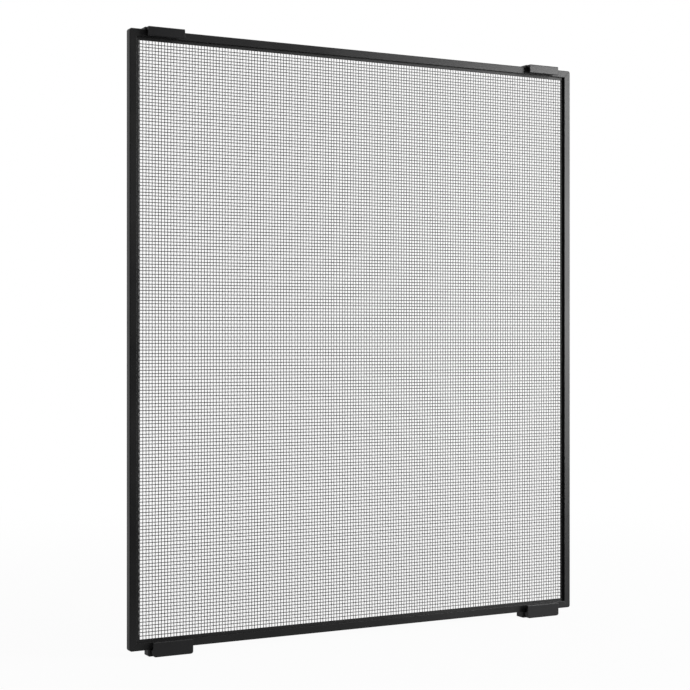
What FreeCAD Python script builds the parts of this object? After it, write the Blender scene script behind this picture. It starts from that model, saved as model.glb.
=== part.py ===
# Window insect screen: a mitred aluminium frame with a stretched wire mesh, hung on four hook clips.
# Millimetres. +X runs across the window, +Z is up and -Y is the side that faces the window.
# The origin is under the middle of the whole part, at the height of the bottom clips' undersides.

import FreeCAD, Part
import math
import os
import Sketcher
from FreeCAD import Placement, Rotation, Vector

SPAN = 1.0e-4
WIRE_SIDES = 8
HEAD_SIDES = 6

DRIVING_SIZES = {
    "frame_width": 1040,
    "frame_height": 1200,
    "frame_depth": 17.25,
    "face_width": 15,
    "wall": 1.8,
    "slot_reach": 5,
    "slot_wall": 1.4,
    "corner_radius": 5,
    "edge_radius": 1.6,
    "inner_edge_radius": 0.5,
    "spline_depth": 5.6,
    "spline_thickness": 1.4,
    "spline_overhang": 5.9,
    "spline_radius": 0.5,
    "spline_clearance": 0.1,
    "wire_thickness": 1.4,
    "wire_spacing": 19.5,
    "wire_clearance": 0.1,
    "key_leg": 45,
    "key_clearance": 0.15,
    "key_web": 3,
    "key_wall": 2,
    "top_clip_width": 76.3,
    "top_shoulder": 3,
    "top_left_margin": 33.75,
    "top_right_margin": 40.5,
    "top_base": 4.5,
    "top_stand_off": 12,
    "top_plate": 3.6,
    "top_plate_reach": 14,
    "top_end_radius": 2.2,
    "top_shoulder_radius": 1.5,
    "top_front_radius": 2,
    "top_rear_radius": 1.5,
    "bottom_clip_width": 82.8,
    "bottom_shoulder": 5,
    "bottom_left_margin": 43.3,
    "bottom_right_margin": 41.4,
    "bottom_base": 12.8,
    "bottom_stand_off": 14.4,
    "bottom_plate": 4.4,
    "bottom_plate_reach": 16,
    "bottom_end_radius": 6.5,
    "bottom_shoulder_radius": 2.5,
    "bottom_front_radius": 3,
    "bottom_rear_radius": 2.5,
    "clip_reach": 24,
    "clip_edge_bevel": 0.9,
    "plate_tip_radius": 1.5,
    "leg_clearance": 0.15,
    "leg_thickness": 4,
    "leg_reach": 13,
    "screw_spacing": 40,
    "screw_height": 7.5,
    "screw_radius": 1.75,
    "screw_length": 9,
    "screw_clearance": 0.2,
    "pilot_clearance": 0.05,
    "head_radius": 3.2,
    "head_height": 2.4,
}


class Size:
    """A length together with the expression that gives it, so that a sketch can start from one and follow the other."""

    def __init__(self, number, text):
        self.number = number
        self.text = text

    def __add__(self, other):
        other = sized(other)
        return Size(self.number + other.number, f"({self.text} + {other.text})")

    def __sub__(self, other):
        other = sized(other)
        return Size(self.number - other.number, f"({self.text} - {other.text})")

    def __mul__(self, factor):
        return Size(self.number * factor, f"({self.text} * {factor})")

    def __truediv__(self, factor):
        return Size(self.number / factor, f"({self.text} / {factor})")

    def __neg__(self):
        return self * -1


def sized(value):
    return value if isinstance(value, Size) else Size(value, str(value))


doc = FreeCAD.newDocument("window_screen")
sheet = doc.addObject("Spreadsheet::Sheet", "sizes")
for row, (alias, number) in enumerate(DRIVING_SIZES.items(), start=1):
    sheet.set(f"A{row}", alias)
    sheet.set(f"B{row}", str(number))
    sheet.setAlias(f"B{row}", alias)
doc.recompute()


def size(alias):
    return Size(float(sheet.get(alias)), f"sizes.{alias}")


ZERO = sized(0)
half_width = size("frame_width") / 2
half_height = size("frame_height") / 2
frame_bottom = size("bottom_base")
frame_middle = frame_bottom + half_height
frame_top = frame_bottom + size("frame_height")
front = (size("bottom_stand_off") - size("clip_reach")) / 2
back = front + size("frame_depth")
layer_offset = (size("wire_thickness") + size("wire_clearance")) / 2
rim_half_thickness = size("wire_thickness") + size("wire_clearance")
slot_side = size("face_width") - size("slot_reach")
spline_side = size("face_width") + size("spline_overhang")
spline_front = front + size("spline_depth")
spline_back = spline_front + size("spline_thickness")
mesh_middle = spline_back + size("wire_clearance") + rim_half_thickness
slot_front = spline_front - size("spline_clearance")
slot_back = mesh_middle + rim_half_thickness + size("wire_clearance")


def new_body(name):
    body = doc.addObject("PartDesign::Body", name)
    body.Label = name
    return body


def new_sketch(body, role, offset=ZERO):
    """A sketch on one of the body's own origin planes. XZ looks along -Y, so its offset is minus the place along Y."""
    sketch = body.newObject("Sketcher::SketchObject", body.Name + "_sketch")
    plane = next(item for item in body.Origin.OriginFeatures if item.Role == role)
    sketch.AttachmentSupport = (plane, [""])
    sketch.MapMode = "FlatFace"
    sketch.setExpression("AttachmentOffset.Base.z", offset.text)
    return sketch


def front_sketch(body, y):
    return new_sketch(body, "XZ_Plane", -y)


def pin_point(sketch, geometry, point, across, along):
    for kind, place in (("DistanceX", across), ("DistanceY", along)):
        index = sketch.addConstraint(Sketcher.Constraint(kind, -1, 1, geometry, point, place.number))
        sketch.setExpression(f"Constraints[{index}]", place.text)


def draw_polygon(sketch, corners):
    """Closed outline through the corners, each held to its place from the sketch's origin."""
    points = [Vector(across.number, along.number, 0) for across, along in corners]
    first = None
    for place, point in enumerate(points):
        following = points[(place + 1) % len(points)]
        line = sketch.addGeometry(Part.LineSegment(point, following), False)
        if first is None:
            first = line
        else:
            sketch.addConstraint(Sketcher.Constraint("Coincident", line - 1, 2, line, 1))
    sketch.addConstraint(Sketcher.Constraint("Coincident", line, 2, first, 1))
    for place, (across, along) in enumerate(corners):
        pin_point(sketch, first + place, 1, across, along)


def draw_rectangle(sketch, left, bottom, right, top):
    draw_polygon(sketch, [(left, bottom), (right, bottom), (right, top), (left, top)])


def draw_frame_line(sketch, inset):
    """The frame's outline, moved in from its outer edge all round."""
    inset = sized(inset)
    across = half_width - inset
    draw_rectangle(sketch, -across, frame_bottom + inset, across, frame_top - inset)


def draw_circle(sketch, across, along, radius):
    centre = Vector(across.number, along.number, 0)
    circle = sketch.addGeometry(Part.Circle(centre, Vector(0, 0, 1), radius.number), False)
    pin_point(sketch, circle, 3, across, along)
    index = sketch.addConstraint(Sketcher.Constraint("Radius", circle, radius.number))
    sketch.setExpression(f"Constraints[{index}]", radius.text)


def draw_wire_section(sketch, across, along, radius):
    """A round wire's section as a regular polygon that is as wide as the wire across its flats."""
    half_step = math.pi / WIRE_SIDES
    reach = radius / math.cos(half_step)
    turns = [half_step * (2 * step + 1) for step in range(WIRE_SIDES)]
    draw_polygon(sketch, [(across + reach * math.cos(turn), along + reach * math.sin(turn)) for turn in turns])


def add_feature(body, kind, profile, length, reverse=False, middle=False):
    feature = body.newObject("PartDesign::" + kind, f"{body.Name}_{kind.lower()}")
    feature.Profile = profile
    feature.setExpression("Length", length.text)
    feature.Reversed = reverse
    if middle:
        feature.SideType = "Symmetric"
    doc.recompute()
    return feature


def pad_back(body, sketch, length):
    """Solid from the sketch towards +Y."""
    return add_feature(body, "Pad", sketch, length, reverse=True)


def cut_back(body, sketch, length):
    """Cut from the sketch towards +Y."""
    return add_feature(body, "Pocket", sketch, length)


def lies_at(edge, axis, place):
    box = edge.BoundBox
    low, high = {"X": (box.XMin, box.XMax), "Y": (box.YMin, box.YMax), "Z": (box.ZMin, box.ZMax)}[axis]
    return abs(low - place) < SPAN and abs(high - place) < SPAN


def runs_along(edge, axis):
    return all(lies_at(edge, other, getattr(edge.BoundBox, other + "Min")) for other in "XYZ" if other != axis)


def dress_edges(body, kind, measure, amount, chosen):
    """Round or bevel the edges of the body's last feature that the chosen test picks."""
    base = body.Tip
    names = [f"Edge{n}" for n, edge in enumerate(base.Shape.Edges, start=1) if chosen(edge)]
    feature = body.newObject("PartDesign::" + kind, f"{body.Name}_{kind.lower()}")
    feature.Base = (base, names)
    feature.setExpression(measure, amount.text)
    doc.recompute()
    return feature


def add_fillet(body, radius, chosen):
    return dress_edges(body, "Fillet", "Radius", radius, chosen)


def add_bevel(body, width, chosen):
    return dress_edges(body, "Chamfer", "Size", width, chosen)


def bind_place(item, x, y, z, rotation=None):
    item.Placement = Placement(Vector(x.number, y.number, z.number), rotation or Rotation())
    for axis, place in (("x", x), ("y", y), ("z", z)):
        item.setExpression(f"Placement.Base.{axis}", place.text)


class Clip:
    """Where one hook clip sits and the sizes that it follows. side is 1 under the bottom rail and -1 over the top rail."""

    def __init__(self, rail, end):
        self.name = f"{rail}_{end}_clip"
        self.screws = f"{rail}_{end}_clip_screws"
        self.rail = rail
        self.side = 1 if rail == "bottom" else -1
        inset = size(f"{rail}_{end}_margin") + self.size("clip_width") / 2
        self.x = inset - half_width if end == "left" else half_width - inset
        self.z = frame_bottom if rail == "bottom" else frame_top

    def size(self, what):
        return size(f"{self.rail}_{what}")

    def screw_places(self):
        """The clip's two screws, seen from the front."""
        height = self.z + size("screw_height") * self.side
        return [(self.x + size("screw_spacing") / 2 * way, height) for way in (-1, 1)]


CLIPS = [Clip(rail, end) for rail in ("top", "bottom") for end in ("left", "right")]


def make_frame_ring():
    """All four profiles as one ring: a hollow chamber, and a slot in the inner side that takes mesh and spline."""
    body = new_body("frame_ring")
    outline = front_sketch(body, front)
    draw_frame_line(outline, 0)
    pad_back(body, outline, size("frame_depth"))
    add_fillet(body, size("corner_radius"), lambda edge: runs_along(edge, "Y"))
    add_fillet(body, size("edge_radius"), lambda e: any(lies_at(e, "Y", p.number) for p in (front, back)))

    opening = front_sketch(body, front)
    draw_frame_line(opening, size("face_width"))
    cut_back(body, opening, size("frame_depth"))

    chamber = front_sketch(body, front + size("wall"))
    draw_frame_line(chamber, size("wall"))
    draw_frame_line(chamber, size("face_width") - size("wall"))
    cut_back(body, chamber, size("frame_depth") - size("wall") * 2)

    slot_box = front_sketch(body, slot_front - size("slot_wall"))
    draw_frame_line(slot_box, slot_side - size("slot_wall"))
    draw_frame_line(slot_box, size("face_width"))
    pad_back(body, slot_box, slot_back - slot_front + size("slot_wall") * 2)

    slot = front_sketch(body, slot_front)
    draw_frame_line(slot, slot_side)
    draw_frame_line(slot, size("face_width") + size("wall"))
    cut_back(body, slot, slot_back - slot_front)

    holes = front_sketch(body, back - size("wall") * 1.5)
    for clip in CLIPS:
        for x, z in clip.screw_places():
            draw_circle(holes, x, z, size("screw_radius") + size("pilot_clearance"))
    cut_back(body, holes, size("wall") * 2)

    ends = (front.number, back.number)
    add_fillet(body, size("inner_edge_radius"),
               lambda e: on_frame_line(e, size("face_width")) and any(lies_at(e, "Y", place) for place in ends))
    return body


def on_frame_line(edge, inset):
    """Whether an edge lies on the frame's outline moved in by the inset."""
    across = half_width.number - inset.number
    levels = (frame_bottom.number + inset.number, frame_top.number - inset.number)
    return any(lies_at(edge, "X", x) for x in (-across, across)) or any(lies_at(edge, "Z", z) for z in levels)


def make_spline_ring():
    """The rubber spline, a flat strip whose outer half presses the mesh's rim into the slot."""
    body = new_body("spline_ring")
    strip = front_sketch(body, spline_front)
    draw_frame_line(strip, slot_side + size("spline_clearance"))
    draw_frame_line(strip, spline_side)
    pad_back(body, strip, size("spline_thickness"))
    add_fillet(body, size("spline_radius"),
               lambda e: on_frame_line(e, spline_side) and lies_at(e, "Y", spline_front.number))
    return body


def make_mitre(name, angle, length, x, z):
    """A block with 45 degree ends that holds one side of the frame. Its wide side is outside."""
    spare = size("edge_radius")
    reach = spline_side + spare
    wedge = doc.addObject("Part::Wedge", name)
    bounds = {
        "Xmin": -(length / 2 + spare),
        "Xmax": length / 2 + spare,
        "X2min": -(length / 2 - reach),
        "X2max": length / 2 - reach,
        "Ymin": -spare,
        "Ymax": reach,
        "Zmin": -spare,
        "Z2min": -spare,
        "Zmax": size("frame_depth") + spare,
        "Z2max": size("frame_depth") + spare,
    }
    for key, place in bounds.items():
        wedge.setExpression(key, place.text)
    upright = Rotation(Vector(1, 0, 0), 90)
    bind_place(wedge, x, back, z, Rotation(Vector(0, 1, 0), angle) * upright)
    return wedge


def make_common(name, base, tool):
    common = doc.addObject("Part::Common", name)
    common.Label = name
    common.Base = base
    common.Tool = tool
    return common


def make_sides():
    """The frame and the spline, each cut into four lengths at the corners."""
    frame_ring = make_frame_ring()
    spline_ring = make_spline_ring()
    sides = [
        ("bottom_rail", "spline_bottom", 0, size("frame_width"), ZERO, frame_bottom),
        ("right_stile", "spline_right", -90, size("frame_height"), half_width, frame_middle),
        ("top_rail", "spline_top", 180, size("frame_width"), ZERO, frame_top),
        ("left_stile", "spline_left", 90, size("frame_height"), -half_width, frame_middle),
    ]
    made = []
    for rail_name, spline_name, angle, length, x, z in sides:
        mitre = make_mitre(rail_name + "_mitre", angle, length, x, z)
        made.append(make_common(rail_name, frame_ring, mitre))
        made.append(make_common(spline_name, spline_ring, mitre))
    return made


def make_corner_key(name, side_x, side_z):
    """An angle bracket that fills the chambers of two profiles at a corner. side_x and side_z are 1 or -1."""
    body = new_body(name)
    gap = size("key_clearance")
    inset = size("wall") + gap
    width = slot_side - size("slot_wall") - size("wall") - gap * 2
    depth = size("frame_depth") - size("wall") * 2 - gap * 2
    key_front = front + size("wall") + gap

    def corner(across, along):
        """A point by its distances in from the frame's two outer edges."""
        return ((half_width - across) * side_x, frame_middle + (half_height - along) * side_z)

    far = inset + size("key_leg")
    near = inset + width
    outline = front_sketch(body, key_front)
    cut_corner = inset + size("wall")
    draw_polygon(outline, [
        corner(cut_corner, inset),
        corner(far, inset),
        corner(far, near),
        corner(near, near),
        corner(near, far),
        corner(inset, far),
        corner(inset, cut_corner),
    ])
    pad_back(body, outline, depth)

    pocket_depth = (depth - size("key_web")) / 2
    wall = size("key_wall")
    cell = (size("key_leg") - width - wall * 3) / 2
    for y in (key_front, key_front + depth - pocket_depth):
        cells = front_sketch(body, y)
        for step in (0, 1):
            start = near + wall + (cell + wall) * step
            for turn in (False, True):
                points = [
                    (start, inset + wall), (start + cell, inset + wall),
                    (start + cell, near - wall), (start, near - wall),
                ]
                draw_polygon(cells, [corner(*(point[::-1] if turn else point)) for point in points])
        cut_back(body, cells, pocket_depth)
    return body


def make_mesh():
    """The wire mesh: a rim that sits in the slot, upright wires in front and level wires behind."""
    body = new_body("screen_mesh")
    rim_side = slot_side + size("wire_clearance")
    rim_width = size("slot_reach") - size("wire_clearance") * 2
    rim = front_sketch(body, mesh_middle - rim_half_thickness)
    draw_frame_line(rim, rim_side)
    draw_frame_line(rim, rim_side + rim_width)
    pad_back(body, rim, rim_half_thickness * 2)

    seat = rim_side + rim_width / 2
    radius = size("wire_thickness") / 2
    spacing = size("wire_spacing")
    clear_width = size("frame_width") - spline_side * 2
    clear_height = size("frame_height") - spline_side * 2

    upright = new_sketch(body, "XY_Plane", frame_bottom + seat)
    draw_wire_section(upright, spline_side - half_width + first_wire(clear_width), mesh_middle - layer_offset, radius)
    upright_wire = add_feature(body, "Pad", upright, size("frame_height") - seat * 2)
    add_row(body, upright_wire, (upright, ["H_Axis"]), spacing, clear_width)

    level = new_sketch(body, "YZ_Plane", seat - half_width)
    draw_wire_section(level, mesh_middle + layer_offset, frame_bottom + spline_side + first_wire(clear_height), radius)
    level_wire = add_feature(body, "Pad", level, size("frame_width") - seat * 2)
    add_row(body, level_wire, (level, ["V_Axis"]), spacing, clear_height)
    return body


def wire_steps(clear):
    """How many whole spacings fit between the first and the last wire."""
    return int(clear.number / size("wire_spacing").number + SPAN) - 1


def first_wire(clear):
    """The first wire's distance from the rim, which leaves the same space after the last one."""
    return (clear - size("wire_spacing") * wire_steps(clear)) / 2


def add_row(body, wire, direction, spacing, clear):
    row = body.newObject("PartDesign::LinearPattern", wire.Name + "_row")
    row.Originals = [wire]
    row.Direction = direction
    row.Occurrences = wire_steps(clear) + 1
    row.setExpression("Length", (spacing * wire_steps(clear)).text)
    body.Tip = row
    doc.recompute()
    return row


def make_clip(clip):
    """A moulded hook: a base past the rail's outer edge, a plate in front and a screwed leg behind.

    Where it runs past the rail, the base has a shoulder at each end that makes it wider than the plate.
    """
    side = clip.side
    base = clip.size("base")
    plate_front = -clip.size("stand_off")
    plate_back = plate_front + clip.size("plate")
    reach = size("clip_reach")
    leg_front = size("frame_depth") + size("leg_clearance")
    leg_back = leg_front + size("leg_thickness")
    width = clip.size("clip_width")
    full_width = width + clip.size("shoulder") * 2

    section = new_body(clip.name + "_section")
    side_view = new_sketch(section, "YZ_Plane")
    corners = [
        (plate_front, -base), (reach, -base), (reach, ZERO), (leg_back, ZERO),
        (leg_back, size("leg_reach")), (leg_front, size("leg_reach")), (leg_front, ZERO), (plate_back, ZERO),
        (plate_back, clip.size("plate_reach")), (plate_front, clip.size("plate_reach")),
    ]
    draw_polygon(side_view, [(y, z * side) for y, z in corners])
    add_feature(section, "Pad", side_view, full_width, middle=True)

    outer = (-base * side).number
    tip = (clip.size("plate_reach") * side).number
    add_fillet(section, clip.size("rear_radius"),
               lambda e: lies_at(e, "Z", outer) and lies_at(e, "Y", reach.number))
    add_fillet(section, clip.size("front_radius"),
               lambda e: lies_at(e, "Z", outer) and lies_at(e, "Y", plate_front.number))
    add_fillet(section, size("plate_tip_radius"),
               lambda e: runs_along(e, "X") and lies_at(e, "Z", tip) and e.BoundBox.YMax < SPAN)

    holes = front_sketch(section, leg_front - size("leg_clearance"))
    for way in (-1, 1):
        draw_circle(holes, size("screw_spacing") / 2 * way, size("screw_height") * side,
                    size("screw_radius") + size("screw_clearance"))
    cut_back(section, holes, size("leg_thickness") + size("leg_clearance") * 2)
    bind_place(section, clip.x, front, clip.z)

    envelope = new_body(clip.name + "_envelope")
    low, high = (-base, clip.size("plate_reach")) if side > 0 else (-clip.size("plate_reach"), base)
    face = front_sketch(envelope, plate_front)
    draw_rectangle(face, -width / 2, low, width / 2, high)
    pad_back(envelope, face, -plate_front)
    add_bevel(envelope, size("clip_edge_bevel"),
              lambda e: runs_along(e, "Z") and lies_at(e, "Y", plate_front.number))
    add_fillet(envelope, clip.size("end_radius"), lambda e: runs_along(e, "Y") and lies_at(e, "Z", outer))
    add_fillet(envelope, size("plate_tip_radius"), lambda e: runs_along(e, "Y") and lies_at(e, "Z", tip))

    shoulders = front_sketch(envelope, ZERO)
    draw_rectangle(shoulders, -full_width / 2, low, full_width / 2, high)
    pad_back(envelope, shoulders, reach)
    end = full_width.number / 2
    add_bevel(envelope, clip.size("shoulder_radius"),
              lambda e: runs_along(e, "Z") and any(lies_at(e, "X", x) for x in (-end, end)))
    add_fillet(envelope, clip.size("shoulder_radius"),
               lambda e: runs_along(e, "Y") and any(lies_at(e, "X", x) for x in (-end, end)))
    bind_place(envelope, clip.x, front, clip.z)
    return make_common(clip.name, section, envelope)


def make_screw(name, x, z):
    """One screw from behind: a six-sided head on the clip's leg and a shank through the rail's rear wall."""
    seat = front + size("frame_depth") + size("leg_clearance") + size("leg_thickness")
    forward = Rotation(Vector(1, 0, 0), 90)

    head = doc.addObject("Part::Prism", name + "_head")
    head.Polygon = HEAD_SIDES
    head.setExpression("Circumradius", size("head_radius").text)
    head.setExpression("Height", size("head_height").text)
    bind_place(head, x, seat + size("head_height"), z, forward)

    shank = doc.addObject("Part::Cylinder", name + "_shank")
    shank.setExpression("Radius", size("screw_radius").text)
    shank.setExpression("Height", size("screw_length").text)
    bind_place(shank, x, seat, z, forward)

    whole = doc.addObject("Part::Fuse", name)
    whole.Base = head
    whole.Tool = shank
    return whole


def make_screws(clip):
    pair = doc.addObject("Part::Compound", clip.screws)
    pair.Label = clip.screws
    pair.Links = [make_screw(f"{clip.screws}_{n}", x, z) for n, (x, z) in enumerate(clip.screw_places(), start=1)]
    return pair


def check_document(parts):
    """Stop with a plain message if any object failed or any sub-part's shape is unusable."""
    for item in doc.Objects:
        if {"Invalid", "Error"} & set(item.State):
            raise RuntimeError(f"{item.Name} failed: {item.State}")
    for part in parts:
        if part.Shape.isNull() or not part.Shape.isValid():
            raise RuntimeError(f"{part.Label} has no valid shape")


parts = make_sides()
for corner_name, side_x, side_z in (
    ("top_left", -1, 1), ("top_right", 1, 1), ("bottom_left", -1, -1), ("bottom_right", 1, -1),
):
    parts.append(make_corner_key(corner_name + "_corner_key", side_x, side_z))
parts.append(make_mesh())
for clip in CLIPS:
    parts.append(make_clip(clip))
    parts.append(make_screws(clip))
doc.recompute()
check_document(parts)

os.makedirs("parts", exist_ok=True)
for part in parts:
    part.Shape.exportStep(f"parts/{part.Label}.step")
    box = part.Shape.BoundBox
    print(part.Label, len(part.Shape.Solids), round(part.Shape.Volume, 1),
          [round(v, 2) for v in (box.XMin, box.YMin, box.ZMin, box.XMax, box.YMax, box.ZMax)])
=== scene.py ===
import math
import bpy
import numpy as np
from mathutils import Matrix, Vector


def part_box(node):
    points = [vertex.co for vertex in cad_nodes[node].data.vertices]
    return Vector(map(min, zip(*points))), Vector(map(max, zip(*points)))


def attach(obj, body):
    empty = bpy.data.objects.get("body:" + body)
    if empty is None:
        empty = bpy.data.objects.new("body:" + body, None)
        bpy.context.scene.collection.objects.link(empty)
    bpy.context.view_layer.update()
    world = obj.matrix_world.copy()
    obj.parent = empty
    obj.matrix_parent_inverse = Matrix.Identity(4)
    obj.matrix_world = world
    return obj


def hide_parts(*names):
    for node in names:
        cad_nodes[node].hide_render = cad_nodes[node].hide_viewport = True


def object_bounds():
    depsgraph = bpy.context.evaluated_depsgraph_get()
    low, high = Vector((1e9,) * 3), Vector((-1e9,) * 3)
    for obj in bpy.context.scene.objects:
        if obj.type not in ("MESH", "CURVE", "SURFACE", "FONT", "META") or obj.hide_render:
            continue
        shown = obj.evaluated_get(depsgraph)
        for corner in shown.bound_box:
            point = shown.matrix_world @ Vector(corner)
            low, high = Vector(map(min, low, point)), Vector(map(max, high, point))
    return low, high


MM = 0.001

# The camera that took the photograph, placed from the frame's own corner: level, and turned to the right.
PHOTO_PIXELS = 690
LENS_MM = 80.07
SENSOR_MM = 36.0
CAMERA_TURN = math.radians(28.076)
CAMERA_LEFT_OF_FRAME = 1.0222
CAMERA_BEFORE_FRAME = 2.7953
CAMERA_OVER_MIDDLE = 0.0074
HORIZON_ABOVE_CENTRE_PIXELS = 9.1

# The woven mesh. The swing is how far a wire moves to each side of the mesh's middle as it passes the others.
# A wire has four sides, because its end caps are made as faces with four corners, like its sides.
WIRE_THICKNESS = 1.55 * MM
WIRE_SWING = 0.7 * MM
WIRE_SIDES = 4
WIRE_END_IN_SLOT = 2 * MM

# The places of the first and last wires are measured inwards from the spline's edges. The wires between them
# are each a little off their even places. The level ones were pushed up in the weaving, most at mid height.
UPRIGHT_WIRES = 155
LEVEL_WIRES = 179
FIRST_UPRIGHT_IN = 2.7 * MM
LAST_UPRIGHT_IN = 5.9 * MM
LOWEST_LEVEL_IN = 5.9 * MM
HIGHEST_LEVEL_IN = 6.7 * MM
LEVELS_PUSHED_UP = 12.3 * MM
WIRE_UNEVENNESS = 0.3 * MM
WEAVE_SEED = 4

# Two more wires: an upright one close along the left edge, and a level one half behind the top spline.
SELVEDGE_IN = 1.0 * MM
TOP_WIRE_BEHIND_SPLINE = 0.5 * MM

# Soft patches in every finish, where its shade and its gloss change by a small part.
PATCH_SCALE = 7.0
PATCH_DETAIL = 3.0
PATCH_LIMITS = (0.3, 0.7)
SHADE_SPREAD = 0.12
ROUGHNESS_SPREAD = 0.03
GRAIN_DETAIL = 2.0

# The hairline between the cut ends of two profiles.
SEAM_HALF_WIDTH = 0.35 * MM
SEAM_DEPTH = 0.2 * MM
SEAM_COLOUR = (0.001, 0.001, 0.001, 1.0)

# The soft box stands in front of the frame to the right.
SOFT_BOX_PLACE = (3.35, -2.35, 1.29)
SOFT_BOX_TARGET = (0.0, 0.0, 0.7)
SOFT_BOX_SIZE = (2.3, 2.5)
SOFT_BOX_POWER = 152
FILL_STRENGTH = 0.4

# How bright the room looks in the glossy coat: in front of the object, behind it, above it and on the floor.
FRONT_REFLECTION = 0.04
BACK_REFLECTION = 0.55
CEILING_REFLECTION = 0.8
FLOOR_REFLECTION = 0.02

# The room's brightness follows the direction: from the front to the walls between these values of its y, and
# from the walls to the ceiling between these of its z. The floor's follows the place along y, in metres.
FRONT_TO_BACK = (-0.92, -0.2)
WALL_TO_CEILING = (0.2, 0.8)
FLOOR_FRONT_TO_BACK = (-1.0, 1.0)

# Near the object the floor glows a little less than white, and fades to white between these distances.
WHITE = (1.0, 1.0, 1.0, 1.0)
FLOOR_COLOUR = (0.92, 0.92, 0.92, 1.0)
FLOOR_GLOW_NEAR = 0.95
FLOOR_PATCH = (0.6, 2.6)
FLOOR_REACH = 60.0

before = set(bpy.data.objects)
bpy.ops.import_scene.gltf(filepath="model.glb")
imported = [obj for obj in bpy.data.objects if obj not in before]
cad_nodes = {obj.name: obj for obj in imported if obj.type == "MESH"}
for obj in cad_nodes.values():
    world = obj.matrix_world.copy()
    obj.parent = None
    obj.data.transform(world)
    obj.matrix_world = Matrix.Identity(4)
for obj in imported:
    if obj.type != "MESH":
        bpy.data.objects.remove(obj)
cad_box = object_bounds()


class NodeTree:
    """The nodes of a material or of the world, with short ways to add and link them."""

    def __init__(self, owner):
        owner.use_nodes = True
        self.tree = owner.node_tree

    def add(self, kind, inputs=(), **settings):
        """A new node. Each of its inputs gets a value, or the output of another node."""
        node = self.tree.nodes.new("ShaderNode" + kind)
        for name, value in settings.items():
            setattr(node, name, value)
        for socket, value in dict(inputs).items():
            self.give(node.inputs[socket], value)
        return node

    def give(self, socket, value):
        if isinstance(value, bpy.types.NodeSocket):
            self.tree.links.new(value, socket)
        else:
            socket.default_value = value

    def calculate(self, operation, *values):
        return self.add("Math", enumerate(values), operation=operation).outputs[0]

    def fade(self, value, start_end, low_high, interpolation="SMOOTHSTEP"):
        """A number that goes from low to high while the value goes from start to end."""
        start, end = start_end
        low, high = low_high
        inputs = {"Value": value, "From Min": start, "From Max": end, "To Min": low, "To Max": high}
        return self.add("MapRange", inputs, interpolation_type=interpolation).outputs["Result"]

    def rays(self, *kinds):
        """1 for rays of these kinds and 0 for the others."""
        path = self.add("LightPath").outputs
        value = path[f"Is {kinds[0]} Ray"]
        for kind in kinds[1:]:
            value = self.calculate("MAXIMUM", value, path[f"Is {kind} Ray"])
        return value

    def show(self, output, share, one, other):
        """Puts out the one shader where the share is 0 and the other where it is 1."""
        mix = self.add("MixShader", {"Fac": share, 1: one.outputs[0], 2: other.outputs[0]})
        self.add(output, {"Surface": mix.outputs[0]})


class Finish(NodeTree):
    """A material on the principled shader, whose looks follow the place on the object."""

    def __init__(self, name):
        self.material = bpy.data.materials.new(name)
        super().__init__(self.material)
        self.principled = self.tree.nodes["Principled BSDF"]
        self.place = self.add("TexCoord").outputs["Object"]

    def feed(self, socket, value):
        self.give(self.principled.inputs[socket], value)

    def fed(self, socket):
        """The output that feeds this input of the principled shader now."""
        return self.principled.inputs[socket].links[0].from_socket

    def noise(self, scale, detail):
        return self.add("TexNoise", {"Vector": self.place, "Scale": scale, "Detail": detail}).outputs["Fac"]

    def shades(self, factor, colour):
        """The colour a little darker where the factor is low and a little lighter where it is high."""
        ramp = self.add("ValToRGB", {"Fac": factor})
        parts = (1 - SHADE_SPREAD, 1 + SHADE_SPREAD)
        for stop, position, part in zip(ramp.color_ramp.elements, PATCH_LIMITS, parts):
            stop.position = position
            stop.color = (*(channel * part for channel in colour), 1.0)
        return ramp.outputs["Color"]

    def inwards(self, place, low, high):
        """How far a place lies inside the nearer of two limits."""
        off_middle = self.calculate("ABSOLUTE", self.calculate("SUBTRACT", place, (low + high) / 2))
        return self.calculate("SUBTRACT", (high - low) / 2, off_middle)


def satin_finish(name, colour, roughness, grain_scale, grain_height):
    """Powder coat or fine moulded plastic: soft patches of shade and gloss over an even, very fine grain."""
    finish = Finish(name)
    patches = finish.noise(PATCH_SCALE, PATCH_DETAIL)
    finish.feed("Base Color", finish.shades(patches, colour))
    least_and_most = (roughness - ROUGHNESS_SPREAD, roughness + ROUGHNESS_SPREAD)
    finish.feed("Roughness", finish.fade(patches, PATCH_LIMITS, least_and_most, "LINEAR"))
    grain = finish.add("Bump", {"Height": finish.noise(grain_scale, GRAIN_DETAIL), "Distance": grain_height})
    finish.feed("Normal", grain.outputs["Normal"])
    return finish


def add_mitre_hairlines(coat):
    """A sunk hairline in the coat at the frame's mitred corners, where two cut ends meet."""
    low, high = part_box("bottom_rail")[0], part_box("top_rail")[1]
    place = coat.add("SeparateXYZ", {"Vector": coat.place}).outputs
    across = coat.inwards(place["X"], low.x, high.x)
    along = coat.inwards(place["Z"], low.z, high.z)
    off_mitre = coat.calculate("ABSOLUTE", coat.calculate("SUBTRACT", across, along))
    closed = coat.fade(off_mitre, (SEAM_HALF_WIDTH / 2, SEAM_HALF_WIDTH), (0.0, 1.0), "LINEAR")
    colours = {"Factor": closed, "A": SEAM_COLOUR, "B": coat.fed("Base Color")}
    coat.feed("Base Color", coat.add("Mix", colours, data_type="RGBA").outputs["Result"])
    sunk = coat.add("Bump", {"Height": closed, "Distance": SEAM_DEPTH, "Normal": coat.fed("Normal")})
    coat.feed("Normal", sunk.outputs["Normal"])


def dress(ending, finish):
    """Puts the finish on all CAD nodes whose names end like this."""
    for name, node in cad_nodes.items():
        if name.endswith(ending):
            node.data.materials.clear()
            node.data.materials.append(finish.material)


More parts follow.
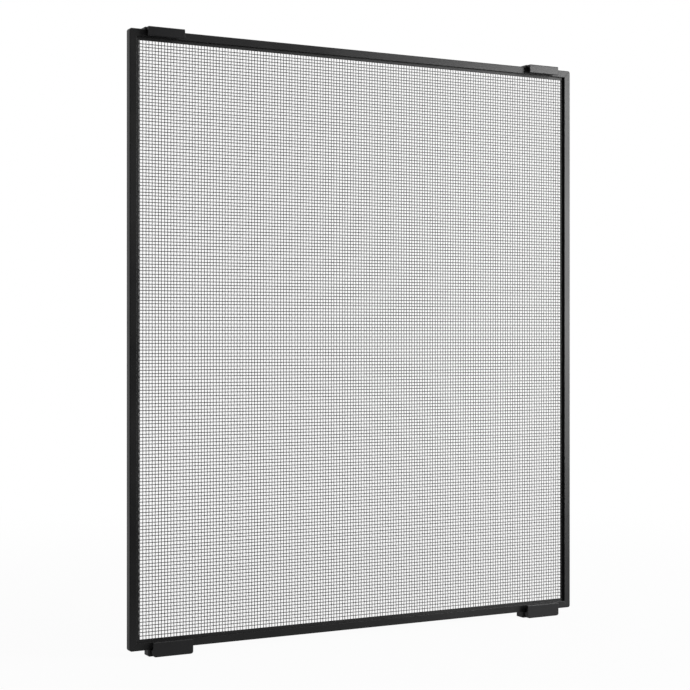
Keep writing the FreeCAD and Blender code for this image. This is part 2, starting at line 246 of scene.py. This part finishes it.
def wire_places(low, high, count, pushed, draws):
    """Wires from low to high, pushed on by up to this much in the middle, and each a little off its place."""
    share = np.linspace(0.0, 1.0, count)
    off_place = draws.uniform(-WIRE_UNEVENNESS, WIRE_UNEVENNESS, count)
    off_place[[0, -1]] = 0.0
    return low + (high - low) * share + pushed * np.sin(math.pi * share) + off_place


def ends_in_slot(upright):
    """Where the wires end, a little inside the outer edge of the mesh's rim."""
    low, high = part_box("screen_mesh")
    axis = 2 if upright else 0
    return low[axis] + WIRE_END_IN_SLOT, high[axis] - WIRE_END_IN_SLOT


def wire_points(places, crossings, upright, first_phase):
    """The tubes' points by wire, ring and corner. Each tube has a ring at both ends and at each crossing."""
    low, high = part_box("screen_mesh")
    middle = (low.y + high.y) / 2
    first_end, last_end = ends_in_slot(upright)
    along = np.concatenate(([first_end], crossings, [last_end]))
    wires, order = np.arange(len(places)), np.arange(len(crossings))
    over = (order[None, :] + wires[:, None] + first_phase) % 2 == 0
    wave = np.where(over, -WIRE_SWING, WIRE_SWING)
    flat = np.zeros((len(places), 1))
    depth = np.hstack((flat, wave, flat)) + middle

    radius = WIRE_THICKNESS / 2
    turns = np.arange(WIRE_SIDES) * (2 * math.pi / WIRE_SIDES)
    side_axis, run_axis = (0, 2) if upright else (2, 0)
    points = np.zeros((len(places), len(along), WIRE_SIDES, 3))
    points[..., side_axis] = places[:, None, None] + radius * np.cos(turns)
    points[..., run_axis] = along[None, :, None]
    points[..., 1] = depth[:, :, None] + radius * np.sin(turns)
    return points


def wire_faces(wires, rings):
    """The tubes' sides and end caps, as indices into their points. Both kinds of face have four corners."""
    corner = np.arange(WIRE_SIDES)
    first = np.arange(wires * rings).reshape(wires, rings)[:, :-1, None] * WIRE_SIDES
    here = first + corner
    beside = first + (corner + 1) % WIRE_SIDES
    sides = np.stack((here, beside, beside + WIRE_SIDES, here + WIRE_SIDES), axis=-1).reshape(-1, WIRE_SIDES)
    starts = np.arange(wires)[:, None] * rings * WIRE_SIDES + corner
    ends = starts + (rings - 1) * WIRE_SIDES
    return np.concatenate((sides, starts[:, ::-1], ends))


def make_wires(name, places, crossings, upright, first_phase):
    """Parallel woven wires as one mesh of tubes. places lie across the wires and crossings along them."""
    points = wire_points(places, crossings, upright, first_phase)
    faces = wire_faces(*points.shape[:2])
    if not upright:
        faces = faces[:, ::-1]
    mesh = bpy.data.meshes.new(name)
    mesh.vertices.add(points.size // 3)
    mesh.vertices.foreach_set("co", points.ravel())
    mesh.loops.add(faces.size)
    mesh.loops.foreach_set("vertex_index", faces.ravel().astype(np.int32))
    mesh.polygons.add(len(faces))
    mesh.polygons.foreach_set("loop_start", np.arange(len(faces), dtype=np.int32) * WIRE_SIDES)
    mesh.polygons.foreach_set("use_smooth", np.ones(len(faces), bool))
    mesh.update(calc_edges=True)
    mesh.validate()
    return add_object(name, mesh)


def add_object(name, data):
    thing = bpy.data.objects.new(name, data)
    bpy.context.scene.collection.objects.link(thing)
    return thing


def make_mesh(finish):
    """The whole weave in four pieces. It runs on under the spline, into the slot of the profiles."""
    left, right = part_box("spline_left")[1].x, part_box("spline_right")[0].x
    bottom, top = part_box("spline_bottom")[1].z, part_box("spline_top")[0].z
    draws = np.random.default_rng(WEAVE_SEED)
    columns = wire_places(left + FIRST_UPRIGHT_IN, right - LAST_UPRIGHT_IN, UPRIGHT_WIRES, 0.0, draws)
    columns = np.concatenate(([left + SELVEDGE_IN], columns))
    rows = wire_places(bottom + LOWEST_LEVEL_IN, top - HIGHEST_LEVEL_IN, LEVEL_WIRES, LEVELS_PUSHED_UP, draws)
    rows = np.concatenate((rows, [top + TOP_WIRE_BEHIND_SPLINE]))
    half_columns, half_rows = len(columns) // 2, len(rows) // 2
    pieces = [
        make_wires("mesh_uprights_left", columns[:half_columns], rows, True, 0),
        make_wires("mesh_uprights_right", columns[half_columns:], rows, True, half_columns),
        make_wires("mesh_levels_low", rows[:half_rows], columns, False, 1),
        make_wires("mesh_levels_high", rows[half_rows:], columns, False, 1 + half_rows),
    ]
    for piece in pieces:
        piece.data.materials.append(finish.material)
        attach(piece, "root")
        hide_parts("screen_mesh")


def make_camera():
    data = bpy.data.cameras.new("photo_camera")
    data.lens = LENS_MM
    data.sensor_width = SENSOR_MM
    data.shift_y = -HORIZON_ABOVE_CENTRE_PIXELS / PHOTO_PIXELS
    camera = add_object("photo_camera", data)
    left_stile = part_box("left_stile")[0]
    middle = (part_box("bottom_rail")[0].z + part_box("top_rail")[1].z) / 2
    camera.location = (
        left_stile.x - CAMERA_LEFT_OF_FRAME,
        left_stile.y - CAMERA_BEFORE_FRAME,
        middle + CAMERA_OVER_MIDDLE,
    )
    level = math.radians(90)
    camera.rotation_euler = (level, 0, -CAMERA_TURN)
    bpy.context.scene.camera = camera


def make_floor():
    """A white floor. Near the object a part of it stays matt, and takes the object's shadow."""
    low = cad_box[0].z
    corners = [(x * FLOOR_REACH, y * FLOOR_REACH, low) for x, y in ((-1, -1), (1, -1), (1, 1), (-1, 1))]
    mesh = bpy.data.meshes.new("floor")
    mesh.from_pydata(corners, [], [(0, 1, 2, 3)])
    floor = add_object("floor", mesh)

    material = bpy.data.materials.new("floor")
    nodes = NodeTree(material)
    nodes.tree.nodes.clear()
    place = nodes.add("TexCoord").outputs["Object"]
    behind = nodes.add("SeparateXYZ", {"Vector": place}).outputs["Y"]
    reflected = nodes.fade(behind, FLOOR_FRONT_TO_BACK, (FLOOR_REFLECTION, BACK_REFLECTION))
    seen = nodes.rays("Camera", "Transmission")
    strength = nodes.calculate("MAXIMUM", seen, reflected)
    matt = nodes.add("BsdfDiffuse", {"Color": FLOOR_COLOUR})
    glow = nodes.add("Emission", {"Color": WHITE, "Strength": strength})

    distance = nodes.add("VectorMath", {0: place}, operation="LENGTH").outputs["Value"]
    glow_share = nodes.fade(distance, FLOOR_PATCH, (FLOOR_GLOW_NEAR, 1.0))
    share = nodes.calculate("MULTIPLY", glow_share, nodes.rays("Camera", "Transmission", "Glossy"))
    nodes.show("OutputMaterial", share, matt, glow)
    mesh.materials.append(material)


def make_world():
    """Even fill light and a white background, with a dim room in front for the glossy coat to reflect."""
    world = bpy.data.worlds.new("studio")
    bpy.context.scene.world = world
    nodes = NodeTree(world)
    nodes.tree.nodes.clear()
    direction = nodes.add("TexCoord").outputs["Generated"]
    part = nodes.add("SeparateXYZ", {"Vector": direction}).outputs
    walls = nodes.fade(part["Y"], FRONT_TO_BACK, (FRONT_REFLECTION, BACK_REFLECTION))
    ceiling = nodes.fade(part["Z"], WALL_TO_CEILING, (FRONT_REFLECTION, CEILING_REFLECTION))
    room = nodes.calculate("MAXIMUM", walls, ceiling)
    brightness = nodes.calculate("MAXIMUM", room, nodes.rays("Camera", "Transmission"))
    fill = nodes.add("Background", {"Color": WHITE, "Strength": FILL_STRENGTH})
    shown = nodes.add("Background", {"Color": WHITE, "Strength": brightness})
    nodes.show("OutputWorld", nodes.rays("Camera", "Transmission", "Glossy"), fill, shown)


def make_soft_box():
    data = bpy.data.lights.new("soft_box", "AREA")
    data.shape = "RECTANGLE"
    data.size, data.size_y = SOFT_BOX_SIZE
    data.energy = SOFT_BOX_POWER
    lamp = add_object("soft_box", data)
    lamp.location = SOFT_BOX_PLACE
    towards = Vector(SOFT_BOX_TARGET) - Vector(SOFT_BOX_PLACE)
    lamp.rotation_euler = towards.to_track_quat("-Z", "Y").to_euler()


bpy.context.scene.view_settings.view_transform = "Standard"
make_camera()
make_world()
make_floor()
make_soft_box()

# Each finish has a colour and a roughness, and the scale and height of its grain.
coat = satin_finish("satin_black_coat", (0.008, 0.008, 0.0084), 0.33, 1400.0, 0.01 * MM)
add_mitre_hairlines(coat)
plastic = satin_finish("moulded_black_plastic", (0.011, 0.011, 0.0118), 0.3, 2200.0, 0.012 * MM)
rubber = satin_finish("black_rubber", (0.006, 0.006, 0.0064), 0.42, 1800.0, 0.02 * MM)
wire_coat = satin_finish("coated_wire", (0.01, 0.01, 0.011), 0.34, 1800.0, 0.01 * MM)
wire_coat.feed("IOR", 1.7)
wire_coat.feed("Specular IOR Level", 1.0)
screw_steel = satin_finish("black_screw", (0.06, 0.06, 0.062), 0.34, 2600.0, 0.006 * MM)
screw_steel.feed("Metallic", 0.9)

dress(("_rail", "_stile"), coat)
dress(("_clip", "_corner_key"), plastic)
dress("_clip_screws", screw_steel)
dress(("spline_top", "spline_bottom", "spline_left", "spline_right"), rubber)
make_mesh(wire_coat)
